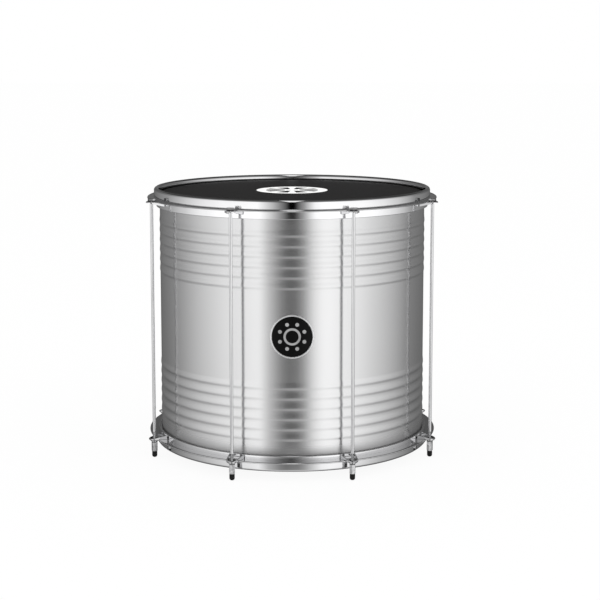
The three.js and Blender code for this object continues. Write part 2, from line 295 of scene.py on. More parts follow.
# %% Hang the lamps and lay the floor
LAMPS = {"lamp_left": (-1.9, -1.6, 1.9), "lamp_right": (2.0, -1.4, 1.8)}
LAMP_SIZE = 1.6
LAMP_POWER = 9
FLOOR_RADIUS = 30
FLOOR_STEPS = 64
FLOOR_WHITE = (0.9, 0.9, 0.9, 1)
FLOOR_SHADOW = 0.07

for name, place in LAMPS.items():
    lamp_data = bpy.data.lights.new(name, "AREA")
    lamp_data.size = LAMP_SIZE
    lamp_data.energy = LAMP_POWER
    lamp = bpy.data.objects.new(name, lamp_data)
    lamp.location = place
    lamp.rotation_mode = "QUATERNION"
    lamp.rotation_quaternion = (Vector((0, 0, middle)) - Vector(place)).to_track_quat("-Z", "Y")
    lamp.visible_glossy = False
    bpy.context.collection.objects.link(lamp)

bm = bmesh.new()
bmesh.ops.create_circle(bm, cap_ends=True, radius=FLOOR_RADIUS, segments=FLOOR_STEPS)
floor_mesh = bpy.data.meshes.new("floor")
bm.to_mesh(floor_mesh)
bm.free()
floor = bpy.data.objects.new("floor", floor_mesh)
bpy.context.collection.objects.link(floor)

floor_material = bpy.data.materials.new("floor")
floor_mesh.materials.append(floor_material)
tree = Tree(floor_material)
dull = tree.add("ShaderNodeBsdfDiffuse", {}, {"Color": FLOOR_WHITE})
white = tree.add("ShaderNodeEmission", {}, {"Strength": 1.0})
clear = tree.add("ShaderNodeBsdfTransparent")
seen_by_camera = tree.ray("Is Camera Ray")
seen_in_gloss = tree.ray("Is Glossy Ray")
lit = tree.blend(seen_by_camera * (1 - FLOOR_SHADOW), dull, white)
surface = tree.blend(seen_in_gloss, lit, clear)
tree.add("ShaderNodeOutputMaterial", {}, {"Surface": surface})
print("Lamps:", *LAMPS, "and a floor of", FLOOR_RADIUS, "m")

# %% [markdown]
# ## Finishes
#
# Every finish starts from the same shader. What is the same all over goes on its own socket as a number, and
# only what changes over the surface is linked. Round pieces want patterns that run round them, so `streaks`
# unrolls the drum and stretches noise by one scale round it and another up it. Nothing real has one even
# shade, so `drift` lets a number wander a little over a piece. Metals are greys with a touch of blue, which
# `cool` adds.

# %% Helpers for finishes
TINT = 1.01


def finish(name, colour, roughness, bump=None, **sockets):
    """Makes a material. A bump is a function for its height, its depth in metres and its strength."""
    material = bpy.data.materials.new(name)
    tree = Tree(material)
    inputs = dict(sockets)
    inputs["Base Color"] = colour(tree) if callable(colour) else colour
    inputs["Roughness"] = roughness(tree) if callable(roughness) else roughness
    if bump:
        pattern, depth, strength = bump
        inputs["Normal"] = tree.add("ShaderNodeBump", {}, {
            "Strength": strength, "Distance": depth, "Height": pattern(tree)})
    shader = tree.add("ShaderNodeBsdfPrincipled", {}, {n.replace("_", " "): v for n, v in inputs.items()})
    tree.add("ShaderNodeOutputMaterial", {}, {"Surface": shader})
    return material


def object_place(tree):
    """Coordinates that stay with a piece wherever it turns."""
    return tree.add("ShaderNodeTexCoord", output="Object")


def drift(tree, low, high, scale, detail=3):
    """A number that drifts between two values over a piece."""
    return low + (high - low) * tree.noise(object_place(tree), scale, detail)


def cool(tree, shade, tint=TINT):
    """A grey with a little more blue in it."""
    return tree.vector(shade, shade, shade * tint)


def streaks(tree, round_scale, up_scale, detail=3):
    """Noise on the unrolled side of a drum."""
    x, y, z = tree.parts(object_place(tree))
    angle = x.math("ARCTAN2", y * -1)
    return tree.noise(tree.vector(angle * (shell_radius * round_scale), z * up_scale, 0.0), 1.0, detail)


# %% [markdown]
# ### Rolled aluminium
#
# The shell is aluminium sheet, polished while it turned, so it carries hairlines that run round it. They
# blur a reflection up and down far more than sideways, which is why the panels show as tall soft stripes.
# The blur comes from the shader's anisotropy, turned by a quarter. Noise stretched round the drum adds the
# hairlines, and a wide faint noise keeps the metal from looking drawn. Towards its lower edge, which a
# polishing wheel hardly reaches, the metal is duller, and its colour is made a little darker as painted
# shade.

# %% Aluminium for the shell
SHELL_GREY = 0.67
SHELL_TINT = 1.005
SHELL_ROUGHNESS = 0.19
PLAIN_SHARE = 0.955
LINE_SHARE = 0.05
CLOUD_SHARE = 0.04
LINE_ROUGH = 0.05
CLOUD_ROUGH = 0.05
HAZE_AND_SHADE_TOP = 38 * MM
HAZE_AND_SHADE_FULL = 10 * MM
HAZE_ROUGH = 0.24
# How much darker the colour is made at the lower edge, as painted shade.
LOWER_EDGE_PAINTED_SHADE = 0.14
HAIRLINE = (6, 2600)
CLOUD = (5, 7)


def haze_and_painted_shade(tree):
    """A mask that grows towards the shell's lower edge, for duller metal and a painted shade."""
    height = tree.parts(object_place(tree))[2]
    return tree.add("ShaderNodeMapRange", {"interpolation_type": "SMOOTHSTEP"}, {
        "Value": height, "From Min": shell_low.z + HAZE_AND_SHADE_TOP, "From Max": shell_low.z + HAZE_AND_SHADE_FULL})


def shell_lines(tree):
    return streaks(tree, *HAIRLINE)


def shell_colour(tree):
    clouds = streaks(tree, *CLOUD)
    shade = SHELL_GREY * (PLAIN_SHARE + LINE_SHARE * shell_lines(tree) + CLOUD_SHARE * clouds)
    # The colour grows darker towards the lower edge: a painted shade.
    return cool(tree, shade * (1 - LOWER_EDGE_PAINTED_SHADE * haze_and_painted_shade(tree)), SHELL_TINT)


def shell_roughness(tree):
    lines = LINE_ROUGH * shell_lines(tree)
    clouds = CLOUD_ROUGH * streaks(tree, *CLOUD, 4)
    return SHELL_ROUGHNESS + lines + clouds + HAZE_ROUGH * haze_and_painted_shade(tree)


aluminium = finish(
    "rolled_aluminium", shell_colour, shell_roughness, (shell_lines, 0.01 * MM, 0.35), Metallic=1.0,
    Anisotropic=0.95, Anisotropic_Rotation=0.25)
print(f"The shell grows dull below {shell_low.z + HAZE_AND_SHADE_TOP:.4f}")

# %% [markdown]
# ### Chrome, drawn aluminium and plated steel
#
# The hoops and ears are chromed steel, smooth enough to mirror the room, with a faint waviness from the
# pressing under it. The flesh hoops are drawn aluminium, bright but with long lines from the die. The rods
# are plated steel with lines along them, and the nuts have been turned by a key and are a little duller.
# The lines are noise that is stretched a few hundred times in one direction.

# %% Patterns for bright metals
DIE_LINES = (4, 1800)
ROD_LINES = (5200, 12)


def faint(low, high, scale, detail=3):
    """A finish's number that drifts between two values."""
    return lambda tree: drift(tree, low, high, scale, detail)


def grey(low, high, scale, tint=TINT):
    """A finish's grey that drifts between two shades."""
    return lambda tree: cool(tree, drift(tree, low, high, scale), tint)


def die_lines(tree):
    return streaks(tree, *DIE_LINES, 2)


def rod_lines(tree):
    x, y, z = tree.parts(object_place(tree))
    across, along = ROD_LINES
    return tree.noise(tree.vector(x * across, y * across, z * along), 1.0, 2)


print("Line scales:", DIE_LINES, ROD_LINES)

# %% [markdown]
# Some places on the chrome and steel get a painted shade in their colour: the hollow of an ear and its faces
# that look down, the collar and the outer half of a bolt's head, and the top of a nut, as a painted shadow
# under the washer. An ear marks its shaded faces with an attribute, which the chrome reads. On the rods and
# nuts the height above the floor is enough to tell, with the distance from the drum's axis on a head.

# %% Where chrome and steel get painted shade
# Shares of painted shade and shadow in the colours below, and the extra roughness of an ear's marked faces.
INSIDE_PAINTED_SHADE = 0.94
INSIDE_ROUGH = 0.35
HEAD_PAINTED_SHADE = 0.7
COLLAR_PAINTED_SHADE = 0.15
NUT_TOP_PAINTED_SHADOW = 0.8
HEAD_LENGTH = 5.2 * MM
COLLAR_HEIGHT = 1.4 * MM
NUT_TOP = 2.1 * MM
MARGIN = 0.1 * MM

head_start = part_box("tension_rod_1")[1].z - HEAD_LENGTH
nut_low, nut_high = (corner.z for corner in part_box("tuning_nut_1"))


def inside(tree):
    """A mask of the faces that a piece marks for painted shade: its hollow and its faces that look down."""
    return tree.add("ShaderNodeAttribute", {"attribute_name": "inside"}, output="Fac")


def chrome_colour(tree):
    # Marked faces of an ear are darkened: a painted shade.
    return cool(tree, drift(tree, 0.63, 0.69, 30) * (1 - INSIDE_PAINTED_SHADE * inside(tree)))


def chrome_roughness(tree):
    return drift(tree, 0.035, 0.085, 60) + INSIDE_ROUGH * inside(tree)


def steel_colour(tree):
    x, y, height = tree.parts(object_place(tree))
    head = height > head_start - MARGIN
    collar = head * (height < head_start + COLLAR_HEIGHT)
    outer = head * (x * x + y * y > bolt_circle * bolt_circle)
    # The outer half of a bolt's head and its collar are darkened: a painted shade.
    dark = HEAD_PAINTED_SHADE * outer + COLLAR_PAINTED_SHADE * collar
    return cool(tree, drift(tree, 0.58, 0.68, 70) * (1 - dark))


def nut_colour(tree):
    height = tree.parts(object_place(tree))[2]
    top = height > nut_high - NUT_TOP
    # The top of a nut is darkened: a painted shadow under the washer.
    return cool(tree, drift(tree, 0.08, 0.84, 260) * (1 - NUT_TOP_PAINTED_SHADOW * top))


print(f"Bolt heads start at {head_start:.4f}, nuts reach from {nut_low:.4f} to {nut_high:.4f}")

# %% [markdown]
# The four metals differ in roughness and in their bumps. Chrome has wide and shallow ones, the lines of
# drawn and plated metal are a hundredth of a millimetre deep, and the nuts are scuffed.

# %% Bright metals
chrome = finish(
    "hoop_chrome", chrome_colour, chrome_roughness, (faint(0, 1, 26, 1), 0.2 * MM, 0.2), Metallic=1.0)
drawn = finish(
    "drawn_aluminium", grey(0.7, 0.78, 25), faint(0.09, 0.16, 90), (die_lines, 0.01 * MM, 0.15),
    Metallic=1.0)
steel = finish(
    "rod_steel", steel_colour, faint(0.1, 0.2, 150), (rod_lines, 0.01 * MM, 0.3), Metallic=1.0)
nut_chrome = finish(
    "nut_chrome", nut_colour, faint(0.08, 0.24, 240), (faint(0, 1, 420, 2), 0.04 * MM, 0.4), Metallic=1.0)
print("Metals:", *(metal.name for metal in (aluminium, chrome, drawn, steel, nut_chrome)))

# %% [markdown]
# ### The black film and its printed disc
#
# The batter head is a plastic film with a leather grain that breaks up its shine. Small Voronoi cells make
# the grain. The white disc is ink, so it is part of the film's colour and not a piece of its own: a ring of
# eight short bars between two circles, for the eight rods.

# %% Film and print
FILM_BLACK = 0.013
FILM_TINTS = (1.06, 1.02)
INK_WHITE = (0.98, 0.98, 0.97, 1)
INK_ROUGH = 0.45
PRINT_RADIUS = 69 * MM
PRINT_BEHIND = 28 * MM
PRINT_BAND = (16 * MM, 52 * MM)
BARS = 8
BAR_SHARE = 0.3
INK_DEPTH = 2 * MM
GRAIN_SCALE = 620
UNEVEN_SHARE = 0.4


def printed(tree):
    """A mask of the ink on the batter head: a disc without eight bars in a ring."""
    x, y, z = tree.parts(object_place(tree))
    y = y - PRINT_BEHIND
    radius = (x * x + y * y).math("SQRT")
    turn = x.math("ARCTAN2", y) * (BARS / (2 * math.pi))
    place_in_turn = (turn.math("FRACT") - 0.5).math("ABSOLUTE")
    bars = (radius > PRINT_BAND[0]) * (radius < PRINT_BAND[1]) * (place_in_turn < BAR_SHARE)
    on_top = z > upper_rim - HEAD_SINK - INK_DEPTH
    return (radius < PRINT_RADIUS) * (1 - bars) * on_top


def film_colour(tree):
    black = FILM_BLACK * drift(tree, 0.75, 1.25, 900, 2)
    red_tint, blue_tint = FILM_TINTS
    return tree.mix(printed(tree), tree.vector(black * red_tint, black, black * blue_tint), INK_WHITE)


def film_roughness(tree):
    return drift(tree, 0.36, 0.46, 300) + INK_ROUGH * printed(tree)


def film_grain(tree):
    cells = tree.add("ShaderNodeTexVoronoi", {"feature": "SMOOTH_F1"}, {
        "Vector": object_place(tree), "Scale": GRAIN_SCALE}, "Distance")
    return cells + UNEVEN_SHARE * tree.noise(object_place(tree), 240, 3)


film = finish(
    "leather_grain_film", film_colour, film_roughness, (film_grain, 0.1 * MM, 0.06), Metallic=0.0,
    Specular_IOR_Level=0.1)
print(f"The print is {2 * PRINT_RADIUS:.3f} m wide, with {BARS} bars")

# %% [markdown]
# ### Rubber and lacquer
#
# The feet are plain black rubber with a slightly uneven skin. The badge is black lacquer under a gloss coat,
# with a silver sign: a plan of the drum itself, a ring with eight dots for its rods.

# %% Rubber, lacquer and silver
LACQUER_BLACK = (0.004, 0.004, 0.004, 1)
SIGN_GREYS = (0.22, 0.42)
SIGN_RING = (11.5 * MM, 15.5 * MM)
SIGN_DOTS = 23.5 * MM
DOT_RADIUS = 3.4 * MM
DOTS = 8


def badge_colour(tree):
    x, y, z = tree.parts(object_place(tree))
    upward = z - middle
    radius = (x * x + upward * upward).math("SQRT")
    ring = (radius > SIGN_RING[0]) * (radius < SIGN_RING[1])
    step = 2 * math.pi / DOTS
    turn = x.math("ARCTAN2", upward) + math.pi
    nearest = (turn / step).math("FRACT") * step - step / 2
    along = radius * nearest.math("COSINE") - SIGN_DOTS
    aside = radius * nearest.math("SINE")
    dots = (along * along + aside * aside) < DOT_RADIUS * DOT_RADIUS
    sign = ring.math("MAXIMUM", dots)
    shade = drift(tree, *SIGN_GREYS, 60, 1)
    return tree.mix(sign, LACQUER_BLACK, tree.vector(shade, shade, shade))


rubber = finish(
    "foot_rubber", grey(0.003, 0.009, 300, 1.0), faint(0.5, 0.7, 500), (faint(0, 1, 900, 2), 0.1 * MM, 0.4),
    Specular_IOR_Level=0.2)
lacquer = finish(
    "badge_lacquer", badge_colour, faint(0.22, 0.3, 120), (faint(0, 1, 50, 1), 0.1 * MM, 0.1),
    Specular_IOR_Level=0.1)
silver = finish("badge_silver", grey(0.8, 0.9, 120), faint(0.42, 0.5, 200), Metallic=1.0)
print("Finishes:", *(m.name for m in bpy.data.materials if m.use_nodes))

# %% [markdown]
# ## Round pieces from an outline
#
# Nearly every piece is turned, rolled or spun, so one helper makes them all. It takes a section's corners as
# radius, height and rounding, spins them round Z, and bevels each ring of edges by its rounding. That is
# simpler than working out arcs, and a rounding stays easy to change.

# %% Spin a section and round its corners
ROUND_STEPS = 192
ROUNDING_STEPS = 4
WELD = 0.000001
NEAR = 0.00001


def spun(section, closed=True, steps=ROUND_STEPS, segments=ROUNDING_STEPS):
    """Spins (radius, height, rounding) corners about Z and rounds the rings."""
    bm = bmesh.new()
    corners = [bm.verts.new((radius, 0, height)) for radius, height, _ in section]
    pairs = list(zip(corners, corners[1:]))
    if closed:
        pairs.append((corners[-1], corners[0]))
    edges = [bm.edges.new(pair) for pair in pairs]
    bmesh.ops.spin(
        bm, geom=corners + edges, cent=(0, 0, 0), axis=(0, 0, 1), angle=2 * math.pi, steps=steps,
        use_merge=True)
    bmesh.ops.remove_doubles(bm, verts=bm.verts, dist=WELD)
    bmesh.ops.recalc_face_normals(bm, faces=bm.faces)
    for rounding in sorted({corner[2] for corner in section} - {0}):
        places = [(radius, height) for radius, height, size in section if size == rounding]
        round_rings(bm, places, rounding, segments)
    return bm


def round_rings(bm, places, rounding, segments):
    """Bevels the rings of edges that pass through some places of the section."""
    def on_ring(edge):
        return any(
            all(abs(v.co.xy.length - radius) < NEAR and abs(v.co.z - height) < NEAR for v in edge.verts)
            for radius, height in places)
    rings = [edge for edge in bm.edges if on_ring(edge)]
    bmesh.ops.bevel(
        bm, geom=rings, offset=rounding, offset_type="OFFSET", segments=segments, profile=0.5,
        affect="EDGES", material=-1, clamp_overlap=True)


def at_top(section):
    """A section whose heights are depths from the rim, placed under the upper rim."""
    return [(radius, upper_rim - depth, rounding) for radius, depth, rounding in section]


def at_bottom(section):
    return [(radius, lower_rim + depth, rounding) for radius, depth, rounding in section]


# %% [markdown]
# ## From mesh to piece
#
# A finished mesh becomes an object that rides with a body of the drum and hides the plain solid that it
# stands for. It is shaded smooth, with its sharp edges kept by angle. A flat face beside a small rounding
# would still look swollen in a mirror finish, so a Weighted Normal modifier lets the large faces decide.
# Where shapes are cut or joined, a Boolean modifier does it on a throw-away object, and its result goes on
# as a mesh.

# %% Make pieces and cut shapes
SHARP = math.radians(32)


def mesh_of(bm, name):
    mesh = bpy.data.meshes.new(name)
    bm.to_mesh(mesh)
    bm.free()
    return mesh


def dress(name, bm, material, body, node, sharp=SHARP):
    """Makes a piece of the drum from a bmesh, in place of a plain solid."""
    mesh = mesh_of(bm, name)
    mesh.shade_smooth()
    mesh.set_sharp_from_angle(angle=sharp)
    mesh.materials.append(material)
    piece = bpy.data.objects.new(name, mesh)
    bpy.context.collection.objects.link(piece)
    even = piece.modifiers.new("even_shading", "WEIGHTED_NORMAL")
    even.keep_sharp = True
    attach(piece, body)
    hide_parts(node)
    return piece


def combined(first, second, operation):
    """The union, difference or intersection of two closed shapes."""
    objects = []
    for bm in (first, second):
        objects.append(bpy.data.objects.new("shape", mesh_of(bm, "shape")))
        bpy.context.collection.objects.link(objects[-1])
    modifier = objects[0].modifiers.new("cut", "BOOLEAN")
    modifier.operation = operation
    modifier.solver = "EXACT"
    modifier.object = objects[1]
    ready = objects[0].evaluated_get(bpy.context.evaluated_depsgraph_get())
    result = bmesh.new()
    result.from_mesh(ready.to_mesh())
    for shape in objects:
        mesh = shape.data
        bpy.data.objects.remove(shape)
        bpy.data.meshes.remove(mesh)
    bmesh.ops.remove_doubles(result, verts=result.verts, dist=WELD)
    return result


def moved(bm, matrix):
    """A copy of a shape, placed by a matrix."""
    copy = bm.copy()
    bmesh.ops.transform(copy, matrix=matrix, verts=copy.verts)
    return copy


# %% [markdown]
# ## The shell
#
# The real shell is one sheet, rolled into a tube, with ridges pressed outwards and both edges rolled in.
# So it is spun as an open sheet and gets its wall afterwards. A ridge swells and sinks along a cosine, which
# has no corner that could flash in a reflection. It is short below its crest and long above it.

# %% Roll the shell
WALL = 1.5 * MM
CROWN = 4 * MM
CROWN_LAND = 0.6 * MM
RIDGES = 6
RIDGE_PITCH = 18.7 * MM
RIDGE_SIDES = (6.2 * MM, 10.2 * MM)
RIDGE_STEPS = 5
UPPER_INSET = 51.5 * MM
LOWER_INSET = 47.6 * MM
SIDE_BAND = 50 * MM

crests = [shell_low.z + LOWER_INSET + i * RIDGE_PITCH for i in range(RIDGES)]
crests += [shell_high.z - UPPER_INSET - i * RIDGE_PITCH for i in reversed(range(RIDGES))]
rolled_in = shell_radius - CROWN - CROWN_LAND
section = [(rolled_in, shell_low.z, 0), (shell_radius, shell_low.z, CROWN)]
for crest in crests:
    for step in range(-RIDGE_STEPS, RIDGE_STEPS + 1):
        share = step / RIDGE_STEPS
        swell = RIDGE_HEIGHT * (1 + math.cos(math.pi * share)) / 2
        section.append((shell_radius + swell, crest + share * RIDGE_SIDES[step > 0], 0))
section += [(shell_radius, shell_high.z, CROWN), (rolled_in, shell_high.z, 0)]
bm = spun(section, closed=False)
side = next(face for face in bm.faces if abs(face.calc_center_median().z - middle) < SIDE_BAND)
if side.normal.dot(side.calc_center_median()) < 0:
    bmesh.ops.reverse_faces(bm, faces=bm.faces)
bmesh.ops.solidify(bm, geom=bm.faces[:], thickness=WALL)
radii = [v.co.xy.length for v in bm.verts]
print(f"Shell: {len(bm.faces)} faces, radius {min(radii):.4f} to {max(radii):.4f}")
dress("shell_sheet", bm, aluminium, "drum", "shell")

# %% [markdown]
# ## The two heads
#
# A head is a film that is stretched over the shell's rolled edge. Its rim runs down outside the shell and
# into a slot in the flesh hoop. Both heads share one section, counted in depth from the hoop's rim, because
# the bottom of the drum is built like the top and turned over.

# %% Stretch the films
FILM = 0.5 * MM
GAP = 0.3 * MM
FLESH_CLEARANCE = 0.7 * MM
SLOT_WALL = 0.8 * MM
SLOT_WIDTH = 1.3 * MM
FLESH_DEPTH = 20.5 * MM
FILM_BEND = 2 * MM
SLOTS = {"batter": 6 * MM, "resonant": 4 * MM}
ENDS = {"batter": at_top, "resonant": at_bottom}

flesh_inner = shell_radius + FLESH_CLEARANCE
slot_middle = flesh_inner + SLOT_WALL + SLOT_WIDTH / 2


def film_section(slot):
    outside = shell_radius + GAP + FILM
    edge = FLESH_DEPTH + slot - GAP
    return [
        (0, HEAD_SINK, 0),
        (outside, HEAD_SINK, CROWN + GAP + FILM),
        (outside, FLESH_DEPTH - FILM_BEND, 0),
        (slot_middle + FILM / 2, FLESH_DEPTH, 0),
        (slot_middle + FILM / 2, edge, 0),
        (slot_middle - FILM / 2, edge, 0),
        (slot_middle - FILM / 2, FLESH_DEPTH, 0),
        (outside - FILM, FLESH_DEPTH - FILM_BEND, 0),
        (outside - FILM, HEAD_SINK + FILM, CROWN + GAP),
        (0, HEAD_SINK + FILM, 0),
    ]


for name, place in ENDS.items():
    bm = spun(place(film_section(SLOTS[name])), closed=False)
    print(f"{name} film: {len(bm.faces)} faces")
    dress(f"{name}_skin", bm, film, "drum", f"{name}_film")

# %% [markdown]
# ## The flesh hoops
#
# A flesh hoop is a slotted aluminium ring that grips the film's edge. The counter hoop pulls it down. Its
# outside shows as a bright band under the chromed flange, with a small rounding where it catches the light.
# A step inside its lower edge leaves a fine dark gap between the hoop and the shell.

# %% Spin the flesh hoops
FLESH_WIDTH = 5.7 * MM
FLESH_HEIGHTS = {"batter": 14.5 * MM, "resonant": 7.5 * MM}
FLESH_ROUNDING = 0.9 * MM
FLESH_REACH = 0.25 * MM
FLESH_STEPS = {"batter": 0.4 * MM, "resonant": 1.9 * MM}
FLESH_STEP_HEIGHT = 3 * MM
EDGE_ROUNDING = 0.25 * MM

flesh_outer = flesh_inner + FLESH_WIDTH


def flesh_section(height, slot, step):
    high = FLESH_DEPTH - FLESH_REACH
    low = FLESH_DEPTH + height
    return [
        (flesh_inner, high, 0),
        (flesh_inner + SLOT_WALL, high, 0),
        (flesh_inner + SLOT_WALL, FLESH_DEPTH + slot, 0),
        (flesh_inner + SLOT_WALL + SLOT_WIDTH, FLESH_DEPTH + slot, 0),
        (flesh_inner + SLOT_WALL + SLOT_WIDTH, high, 0),
        (flesh_outer, high, 0),
        (flesh_outer, low, FLESH_ROUNDING),
        (flesh_inner + step, low, EDGE_ROUNDING),
        (flesh_inner + step, low - FLESH_STEP_HEIGHT, 0),
        (flesh_inner, low - FLESH_STEP_HEIGHT, 0),
    ]


for name, place in ENDS.items():
    bm = spun(place(flesh_section(FLESH_HEIGHTS[name], SLOTS[name], FLESH_STEPS[name])))
    print(f"{name} flesh hoop: {len(bm.faces)} faces")
    dress(f"{name}_ring", bm, drawn, "drum", f"{name}_flesh_hoop")

# %% [markdown]
# ## The counter hoops
#
# Each hoop is pressed from one strip of steel: an upright band, a hem rolled over its rim and down inside, a
# lip that bears on the flesh hoop, and a flange that stands out and ends in a bead. The hem and the bead are
# corners with roundings about as large as they allow.

# %% The section of a hoop
HOOP_SHEET = 2.2 * MM
HOOP_DEPTH = 20.2 * MM
BAND_GAP = 2.2 * MM
LIP = 5 * MM
FLANGE = 12.7 * MM
RIM_OUTER = 4.8 * MM
RIM_INNER = 3.8 * MM
RIM_DEPTH = 9.4 * MM
RIM_SLANT = 7 * MM
RIM_SLOPE = 0.16
RIM_SHEET = 1.6 * MM
FLANGE_BEAD = 1.35 * MM
BEAD_FOOT = 0.2 * MM
BEAD_SLACK = 0.05 * MM
FILLET = 1.2 * MM
LIP_ROUNDINGS = (0.15 * MM, 0.5 * MM, 0.8 * MM)
HEM_ROUNDINGS = (0.7 * MM, 0.6 * MM, 0.55 * MM, 0.8 * MM)

plate_depth = HOOP_DEPTH - HOOP_SHEET
band_inner = flesh_outer + BAND_GAP
band_outer = band_inner + HOOP_SHEET
flange_edge = band_outer + FLANGE


def hoop_section():
    bead_inner = flange_edge - 2 * FLANGE_BEAD
    bead_top = HOOP_DEPTH - 2 * FLANGE_BEAD
    rim_top = band_outer - RIM_OUTER - RIM_INNER
    rim_end = rim_top - RIM_SLOPE * RIM_SLANT
    return [
        (band_outer, 0, RIM_OUTER),
        (band_outer, plate_depth, FILLET),
        (bead_inner, plate_depth, BEAD_FOOT),
        (bead_inner, bead_top, BEAD_FOOT),
        (flange_edge, bead_top, FLANGE_BEAD - BEAD_SLACK),
        (flange_edge, HOOP_DEPTH, FLANGE_BEAD - 2 * BEAD_SLACK),
        (band_inner - LIP, HOOP_DEPTH, LIP_ROUNDINGS[0]),
        (band_inner - LIP, plate_depth, LIP_ROUNDINGS[1]),
        (band_inner, plate_depth, LIP_ROUNDINGS[2]),
        (band_inner, RIM_OUTER + RIM_INNER, 0),
        (rim_end + 2 * RIM_SHEET, RIM_INNER + RIM_SHEET, HEM_ROUNDINGS[0]),
        (rim_end + RIM_SHEET, RIM_DEPTH, HEM_ROUNDINGS[1]),
        (rim_end, RIM_DEPTH, HEM_ROUNDINGS[2]),
        (rim_end, RIM_SLANT, HEM_ROUNDINGS[3]),
        (rim_top, 0, RIM_INNER - BEAD_SLACK),
    ]


print(f"Band from radius {band_inner:.4f} to {band_outer:.4f}, flange out to {flange_edge:.4f}")

# %% [markdown]
# The flange has a round notch at every rod. A notch can't be part of a section that is spun, so eight
# upright drills are cut out of the finished ring.

# %% Spin and notch the hoops
NOTCH_RADIUS = 7.9 * MM
OVERRUN = 5 * MM
SMALL_STEPS = 48


def drill(radius, low, high, centre=(0, 0), steps=SMALL_STEPS):
    """An upright cutter."""
    bm = bmesh.new()
    place = Matrix.Translation((*centre, (low + high) / 2))
    bmesh.ops.create_cone(
        bm, cap_ends=True, segments=steps, radius1=radius, radius2=radius, depth=high - low, matrix=place)
    return bm


def joined(shapes):
    """Several shapes, side by side in one."""
    whole = bmesh.new()
    for shape in shapes:
        mesh = mesh_of(shape, "part")
        whole.from_mesh(mesh)
        bpy.data.meshes.remove(mesh)
    return whole


for name, place in (("top", at_top), ("bottom", at_bottom)):
    bm = spun(place(hoop_section()))
    levels = sorted(level for _, level, _ in place([
        (0, HOOP_DEPTH + OVERRUN, 0), (0, HOOP_DEPTH - 2 * FLANGE_BEAD - OVERRUN, 0)]))
    cutters = joined([drill(NOTCH_RADIUS, *levels, centre=rod_places[k].xy) for k in STATIONS])
    bm = combined(bm, cutters, "DIFFERENCE")
    print(f"{name} hoop: {len(bm.faces)} faces")
    dress(f"{name}_counter_hoop", bm, chrome, "drum", f"{name}_hoop")

# %% [markdown]
# ## The ears
#
# An ear hooks under the flange and carries one end of a rod. It is a small pressed hood: a plate with a round
# nose, a skirt that is deep at the root and shallow at the nose, and a boss that stands in the flange's
# notch. Both the hood and the hollow in it start as a flat outline, an arc round the bolt with a straight
# side at either hand, which is extruded downwards.

# %% The outline of an ear
NOSE_RADIUS = 10.4 * MM
NOSE_STEPS = 20
EAR_WIDTH = 29 * MM
EAR_ROOT_GAP = 1.6 * MM

ear_root = flesh_outer + EAR_ROOT_GAP
ear_nose = bolt_circle + NOSE_RADIUS


def hood(nose, root, plate, skirt):
    """A solid ear outline with its nose on the bolt's axis, from one level down to another."""
    run = ear_root - bolt_circle
    flare = math.atan2(EAR_WIDTH / 2, run) - math.acos(NOSE_RADIUS / math.hypot(run, EAR_WIDTH / 2))
    side = (nose - math.cos(flare) * (root - bolt_circle)) / math.sin(flare)
    bm = bmesh.new()
    tangent = bm.verts.new((bolt_circle + nose * math.cos(flare), -nose * math.sin(flare), plate))
    bmesh.ops.spin(
        bm, geom=[tangent], cent=(bolt_circle, 0, plate), axis=(0, 0, 1), angle=2 * flare,
        steps=NOSE_STEPS)
    bm.verts.ensure_lookup_table()
    around = sorted(bm.verts, key=lambda v: v.co.y)
    corners = [bm.verts.new((root, -side, plate)), *around, bm.verts.new((root, side, plate))]
    top = bm.faces.new(corners)
    walls = bmesh.ops.extrude_face_region(bm, geom=[top])
    for vert in (item for item in walls["geom"] if isinstance(item, bmesh.types.BMVert)):
        vert.co.z = skirt
    bmesh.ops.recalc_face_normals(bm, faces=bm.faces)
    return bm


print(f"Ears from radius {ear_root:.4f} to {ear_nose:.4f}")

# %% [markdown]
# The outer edge of the plate is rounded by the press, and the skirt's lower edge rises towards the nose.
# Then the room for the flange, the hollow and the bolt's hole are cut out of the hood. The hollow starts
# lower near the root, because the plate steps down there to pass under the flange.

# %% Press an ear
EAR_SHEET = 2.5 * MM
EAR_PLATE = 2.6 * MM
EAR_UNDER_FLANGE = 5 * MM
SKIRT_ROOT = 9.5 * MM
SKIRT_NOSE = 2.7 * MM
PRESS_ROUNDING = 2.3 * MM
PRESS_STEPS = 5
HOLE_RADIUS = 3.4 * MM
BOSS_RADIUS = NOTCH_RADIUS - GAP


def press_edges(bm, level, root):
    """The edges round the plate, all but the root's."""
    return [
        edge for edge in bm.edges
        if all(abs(v.co.z - level) < NEAR for v in edge.verts)
        and not all(abs(v.co.x - root) < NEAR for v in edge.verts)]


plate_level = -plate_depth
bm = hood(NOSE_RADIUS, ear_root, plate_level, plate_level - SKIRT_ROOT)
slope = (SKIRT_ROOT - SKIRT_NOSE) / (ear_nose - ear_root)
for vert in bm.verts:
    if vert.co.z < plate_level - NEAR:
        vert.co.z += slope * (vert.co.x - ear_root)
bmesh.ops.bevel(
    bm, geom=press_edges(bm, plate_level, ear_root), offset=PRESS_ROUNDING, offset_type="OFFSET",
    segments=PRESS_STEPS, profile=0.5, affect="EDGES", material=-1)
hollow = hood(
    NOSE_RADIUS - EAR_SHEET, ear_root - OVERRUN, plate_level - EAR_PLATE,
    plate_level - SKIRT_ROOT - OVERRUN)
for reach in (flange_edge + 2 * GAP + EAR_UNDER_FLANGE - EAR_PLATE, flange_edge + 2 * GAP):
    bmesh.ops.bisect_plane(
        hollow, geom=hollow.verts[:] + hollow.edges[:] + hollow.faces[:], plane_co=(reach, 0, 0),
        plane_no=(1, 0, 0))
for vert in hollow.verts:
    if vert.co.z > plate_level - EAR_PLATE - NEAR and vert.co.x < flange_edge + 3 * GAP:
        vert.co.z = plate_level - EAR_UNDER_FLANGE
